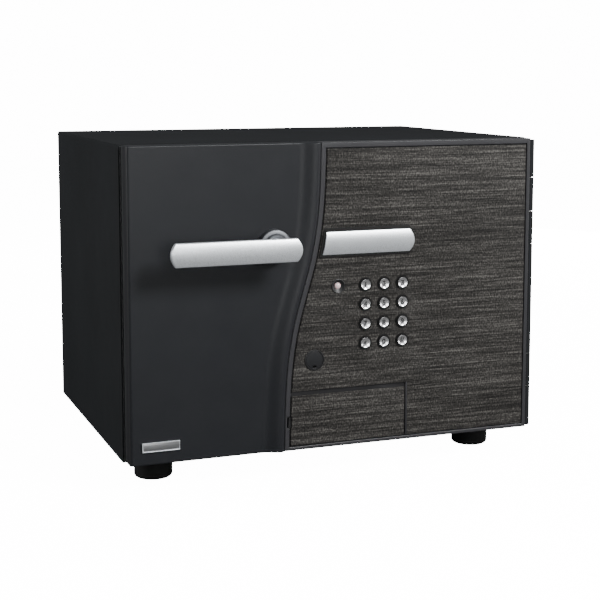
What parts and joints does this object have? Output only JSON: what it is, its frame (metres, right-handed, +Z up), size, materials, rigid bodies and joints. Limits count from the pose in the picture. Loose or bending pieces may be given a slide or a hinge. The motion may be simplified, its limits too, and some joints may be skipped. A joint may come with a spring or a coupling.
{
  "type": "keypad fire safe",
  "caption": "Compact free-standing fire-resistant keypad safe: hinged door with lever boltwork, flowing two-part front, battery bay, tray and rubber feet.",
  "frame": {"origin": "on the floor, under the middle of the whole object's width and depth, lever included", "axes": "+Z up, the door and lever face -Y, +X to the right as seen from the front; the door's hinge is at the +X side"},
  "size_m": [0.483, 0.411, 0.371],
  "materials": {
    "cabinet_paint": "satin",
    "inner_paint": "satin",
    "insulation": "matt",
    "rubber": "matt",
    "zinc_steel": "satin",
    "bright_steel": "polished",
    "grey_plastic": "matt",
    "handle_panel_paint": "satin",
    "bezel_plastic": "satin",
    "wood_grain": "woven grain",
    "satin_aluminium": "satin",
    "bronze": "satin",
    "black_plastic": "matt",
    "lens": "clear",
    "circuit_green": "gloss",
    "battery_wrap": "gloss",
    "key_chrome": "polished"
  },
  "bodies": {
    "cabinet": {"outer_wrap": "cabinet_paint", "back_panel": "cabinet_paint", "base_plate": "cabinet_paint", "front_frame": "inner_paint", "inner_liner": "inner_paint", "cabinet_insulation": "insulation", "feet": "rubber", "foot_screws": "zinc_steel", "cabinet_hinges": "cabinet_paint", "hinge_pins": "zinc_steel", "tray_rails": "inner_paint", "tray": "grey_plastic"},
    "door": {"door_skin": "inner_paint", "door_box": "inner_paint", "door_insulation": "insulation", "door_inner_panel": "grey_plastic", "inner_panel_screws": "zinc_steel", "door_seal": "rubber", "door_dogs": "bright_steel", "door_hinge_strip": "cabinet_paint", "handle_panel": "handle_panel_paint", "control_panel": "bezel_plastic", "wood_inlay": "wood_grain", "grip_trim": "satin_aluminium", "nameplate": "satin_aluminium", "rosette": "satin_aluminium", "lever_bushing": "bronze", "boltwork_plate": "zinc_steel", "bolt_guides": "grey_plastic", "solenoid": "zinc_steel", "key_rings": "black_plastic", "led_bezel": "black_plastic", "led_lens": "lens", "key_mat": "rubber", "circuit_board": "circuit_green", "lock_housing": "black_plastic", "battery_holder": "black_plastic", "batteries": "battery_wrap", "battery_contacts": "zinc_steel"},
    "lever": {"lever": "satin_aluminium", "lever_shaft": "zinc_steel"},
    "bolt_carriage": {"bolt_carriage": "zinc_steel", "bolts": "bright_steel", "bolt_screws": "zinc_steel"},
    "solenoid_plunger": {"solenoid_plunger": "zinc_steel"},
    "battery_door": {"battery_door": "wood_grain"},
    "key_cap": {"key_cap": "black_plastic"},
    "lock_plug": {"lock_plug": "bright_steel"},
    "button_1": {"button_1": "key_chrome"},
    "button_2": {"button_2": "key_chrome"},
    "button_3": {"button_3": "key_chrome"},
    "button_4": {"button_4": "key_chrome"},
    "button_5": {"button_5": "key_chrome"},
    "button_6": {"button_6": "key_chrome"},
    "button_7": {"button_7": "key_chrome"},
    "button_8": {"button_8": "key_chrome"},
    "button_9": {"button_9": "key_chrome"},
    "button_star": {"button_star": "key_chrome"},
    "button_0": {"button_0": "key_chrome"},
    "button_hash": {"button_hash": "key_chrome"}
  },
  "joints": [
    {"name": "door_hinge", "type": "hinge", "parent": "cabinet", "child": "door", "pos_m": [0.2367, -0.1535, 0.201], "axis": [0, 0, 1], "range_deg": [0, 115]},
    {"name": "lever_turn", "type": "hinge", "parent": "door", "child": "lever", "pos_m": [-0.08, -0.1335, 0.261], "axis": [0, -1, 0], "range_deg": [0, 45]},
    {"name": "bolt_slide", "type": "slide", "parent": "door", "child": "bolt_carriage", "axis": [-1, 0, 0], "range_m": [0, 0.01686]},
    {"name": "plunger_slide", "type": "slide", "parent": "door", "child": "solenoid_plunger", "axis": [0, 0, 1], "range_m": [0, 0.005]},
    {"name": "battery_door_hinge", "type": "hinge", "parent": "door", "child": "battery_door", "pos_m": [0.0747, -0.161, 0.066], "axis": [0, 0, 1], "range_deg": [0, 100]},
    {"name": "key_cap_pull", "type": "slide", "parent": "door", "child": "key_cap", "axis": [0, -1, 0], "range_m": [0, 0.012]},
    {"name": "lock_plug_turn", "type": "hinge", "parent": "door", "child": "lock_plug", "pos_m": [-0.03297, -0.1335, 0.1327], "axis": [0, 1, 0], "range_deg": [0, 90]},
    {"name": "button_1_press", "type": "slide", "parent": "door", "child": "button_1", "axis": [0, 1, 0], "range_m": [0, 0.0012], "stiffness_N_per_m": 400},
    {"name": "button_2_press", "type": "slide", "parent": "door", "child": "button_2", "axis": [0, 1, 0], "range_m": [0, 0.0012], "stiffness_N_per_m": 400},
    {"name": "button_3_press", "type": "slide", "parent": "door", "child": "button_3", "axis": [0, 1, 0], "range_m": [0, 0.0012], "stiffness_N_per_m": 400},
    {"name": "button_4_press", "type": "slide", "parent": "door", "child": "button_4", "axis": [0, 1, 0], "range_m": [0, 0.0012], "stiffness_N_per_m": 400},
    {"name": "button_5_press", "type": "slide", "parent": "door", "child": "button_5", "axis": [0, 1, 0], "range_m": [0, 0.0012], "stiffness_N_per_m": 400},
    {"name": "button_6_press", "type": "slide", "parent": "door", "child": "button_6", "axis": [0, 1, 0], "range_m": [0, 0.0012], "stiffness_N_per_m": 400},
    {"name": "button_7_press", "type": "slide", "parent": "door", "child": "button_7", "axis": [0, 1, 0], "range_m": [0, 0.0012], "stiffness_N_per_m": 400},
    {"name": "button_8_press", "type": "slide", "parent": "door", "child": "button_8", "axis": [0, 1, 0], "range_m": [0, 0.0012], "stiffness_N_per_m": 400},
    {"name": "button_9_press", "type": "slide", "parent": "door", "child": "button_9", "axis": [0, 1, 0], "range_m": [0, 0.0012], "stiffness_N_per_m": 400},
    {"name": "button_star_press", "type": "slide", "parent": "door", "child": "button_star", "axis": [0, 1, 0], "range_m": [0, 0.0012], "stiffness_N_per_m": 400},
    {"name": "button_0_press", "type": "slide", "parent": "door", "child": "button_0", "axis": [0, 1, 0], "range_m": [0, 0.0012], "stiffness_N_per_m": 400},
    {"name": "button_hash_press", "type": "slide", "parent": "door", "child": "button_hash", "axis": [0, 1, 0], "range_m": [0, 0.0012], "stiffness_N_per_m": 400}
  ],
  "couplings": [
    {"joint": "bolt_slide", "follows": "lever_turn", "m_per_rad": 0.021439}
  ]
}
